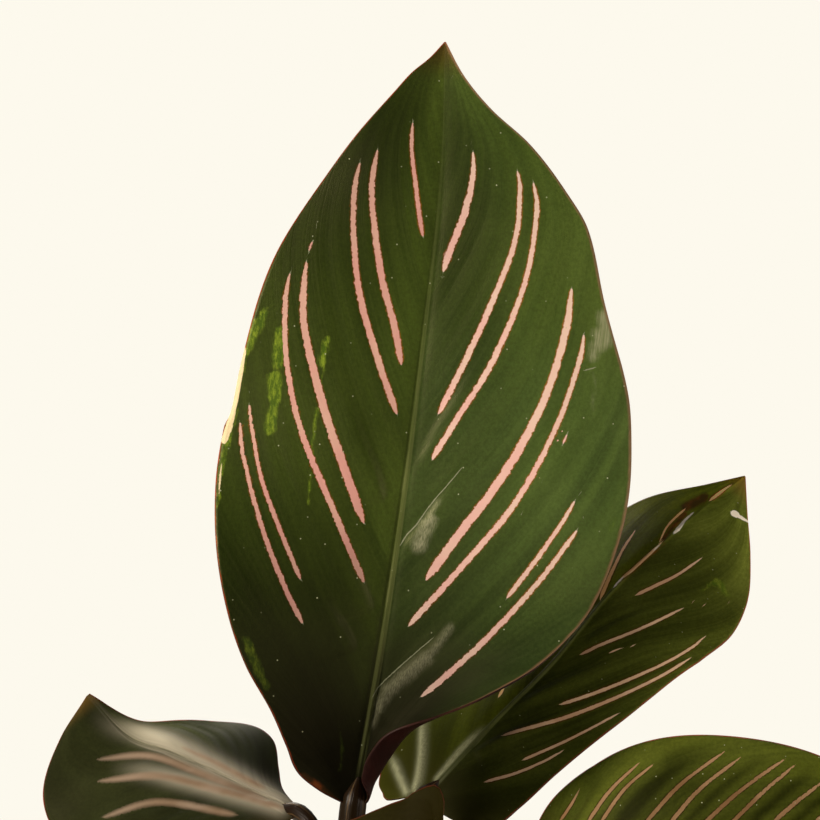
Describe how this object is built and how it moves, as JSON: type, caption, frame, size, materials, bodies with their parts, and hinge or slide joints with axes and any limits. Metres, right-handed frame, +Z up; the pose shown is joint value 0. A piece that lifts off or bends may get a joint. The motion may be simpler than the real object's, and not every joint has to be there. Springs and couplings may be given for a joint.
{
  "type": "potted pinstripe calathea",
  "caption": "Young prayer plant with dark pointed leaves marked by paired pink pinstripes, growing from soil in a plain round clay pot.",
  "frame": {"origin": "middle of the pot's flat underside", "axes": "+Z up, the tallest leaf faces -Y, +X to its right as seen from the front"},
  "size_m": [0.238, 0.2227, 0.3717],
  "materials": {
    "clay": "unglazed matt clay",
    "soil": "damp crumbly potting mix with bark and white perlite",
    "leaf": "satin dark green upper face with pink pinstripes, maroon underside",
    "stalk": "satin green-brown stalk, darker at the joint"
  },
  "bodies": {
    "root": {"pot": "clay", "soil": "soil", "leaf_main": "leaf", "stalk_main": "stalk", "leaf_right": "leaf", "stalk_right": "stalk", "leaf_low_right": "leaf", "stalk_low_right": "stalk", "leaf_low_left": "leaf", "stalk_low_left": "stalk", "leaf_front": "leaf", "stalk_front": "stalk", "leaf_back": "leaf", "stalk_back": "stalk", "leaf_back_left": "leaf", "stalk_back_left": "stalk", "leaf_back_right": "leaf", "stalk_back_right": "stalk", "leaf_left": "leaf", "stalk_left": "stalk", "leaf_front_left": "leaf", "stalk_front_left": "stalk", "leaf_front_right": "leaf", "stalk_front_right": "stalk", "leaf_side_right": "leaf", "stalk_side_right": "stalk"}
  },
  "joints": []
}
